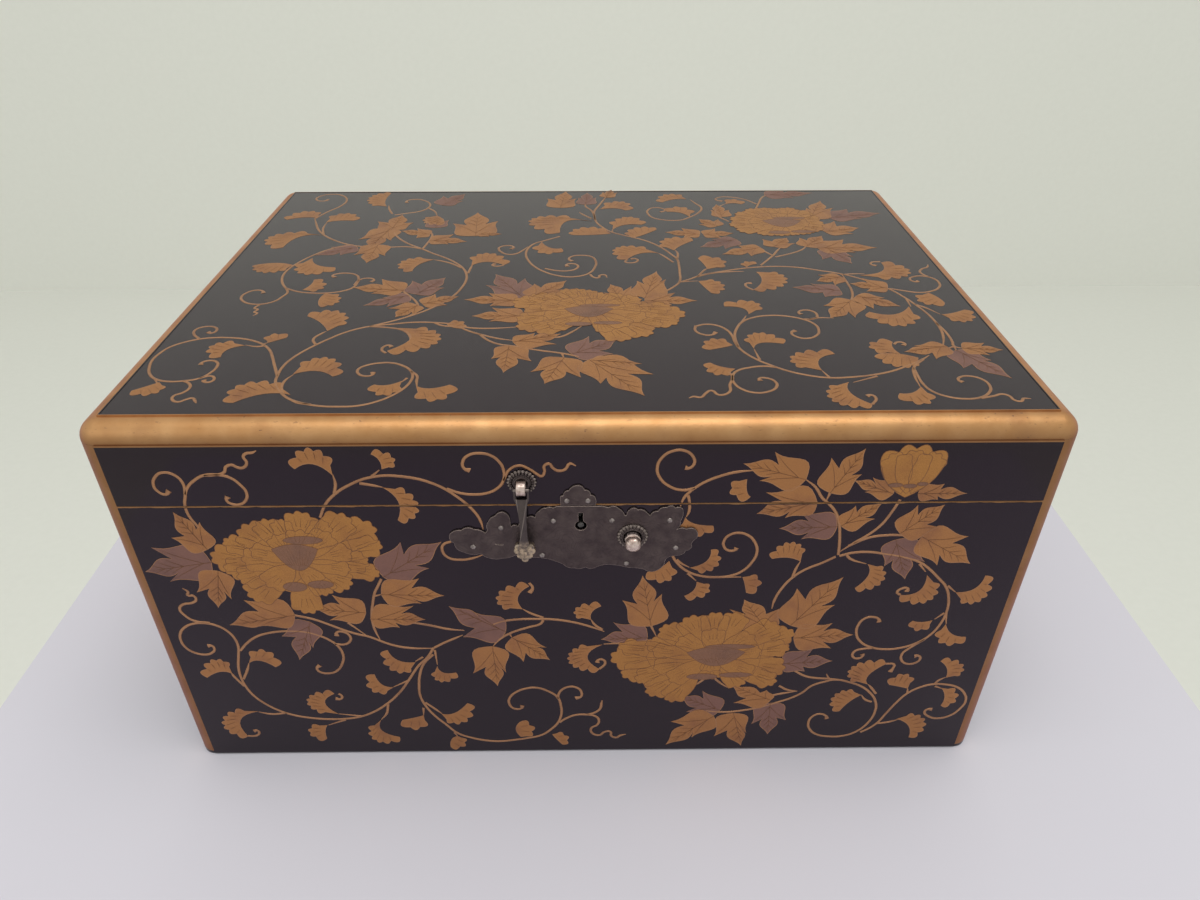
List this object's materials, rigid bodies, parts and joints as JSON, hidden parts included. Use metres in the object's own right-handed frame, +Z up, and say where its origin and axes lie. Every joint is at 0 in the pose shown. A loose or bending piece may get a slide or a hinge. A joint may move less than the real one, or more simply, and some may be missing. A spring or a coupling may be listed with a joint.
{
  "type": "document box",
  "caption": "Lacquered wooden document box with a hinged flush lid, gilt quarter-round edge mouldings, a cusped metal lock plate, a push-button bolt and a hanging lid pull.",
  "frame": {"origin": "centre of the flat underside, on the surface the box stands on", "axes": "+X to the box's right seen from the front, +Y to the back where the hinges are, +Z up"},
  "size_m": [0.4, 0.3062, 0.2007],
  "materials": {
    "roiro_lacquer": "polished black lacquer on wood, with gilt mouldings",
    "inner_lacquer": "satin black lacquer on wood",
    "makie_gold": "sprinkled gold and coloured powders in lacquer, raised a little",
    "dark_copper": "dark patinated copper alloy, worn paler at its edges",
    "silvered_copper": "worn silvered copper",
    "nail_metal": "dull silver-grey, worn bright on the heads",
    "lock_iron": "filed iron, darkened with age"
  },
  "bodies": {
    "box": {"body_front": "roiro_lacquer", "body_back": "roiro_lacquer", "body_left": "roiro_lacquer", "body_right": "roiro_lacquer", "body_bottom": "inner_lacquer", "lip_front": "inner_lacquer", "lip_back": "inner_lacquer", "lip_left": "inner_lacquer", "lip_right": "inner_lacquer", "lock_plate": "dark_copper", "button_washer": "dark_copper", "lock_plate_nails": "nail_metal", "hinge_body_nails": "nail_metal", "lock_case_nails": "lock_iron", "lock_case": "lock_iron", "key_pin": "lock_iron", "hinge_left_body_leaf": "dark_copper", "hinge_left_pin": "nail_metal", "hinge_right_body_leaf": "dark_copper", "hinge_right_pin": "nail_metal"},
    "lid": {"lid_top": "roiro_lacquer", "lid_front": "roiro_lacquer", "lid_back": "roiro_lacquer", "lid_left": "roiro_lacquer", "lid_right": "roiro_lacquer", "strike_plate": "dark_copper", "strike_plate_nails": "nail_metal", "lid_catch": "lock_iron", "lid_catch_nails": "lock_iron", "pull_washer": "dark_copper", "pull_staple": "silvered_copper", "hinge_left_lid_leaf": "dark_copper", "hinge_right_lid_leaf": "dark_copper", "hinge_lid_nails": "nail_metal"},
    "pull": {"lid_pull": "dark_copper"},
    "button": {"push_button": "silvered_copper"},
    "bolt": {"lock_bolt": "lock_iron"}
  },
  "joints": [
    {"name": "lid_hinge", "type": "hinge", "parent": "box", "child": "lid", "pos_m": [0, 0.1467, 0.1614], "axis": [-1, 0, 0], "range_deg": [0, 98]},
    {"name": "pull_swing", "type": "hinge", "parent": "lid", "child": "pull", "pos_m": [-0.0244, -0.1527, 0.17238], "axis": [-1, 0, 0], "range_deg": [-3, 130]},
    {"name": "button_press", "type": "slide", "parent": "box", "child": "button", "axis": [0, 1, 0], "range_m": [0, 0.003], "stiffness_N_per_m": 250, "springref_m": -0.002},
    {"name": "bolt_throw", "type": "slide", "parent": "box", "child": "bolt", "axis": [-1, 0, 0], "range_m": [0, 0.003]}
  ],
  "couplings": [
    {"joint": "bolt_throw", "follows": "button_press", "ratio": 1}
  ]
}
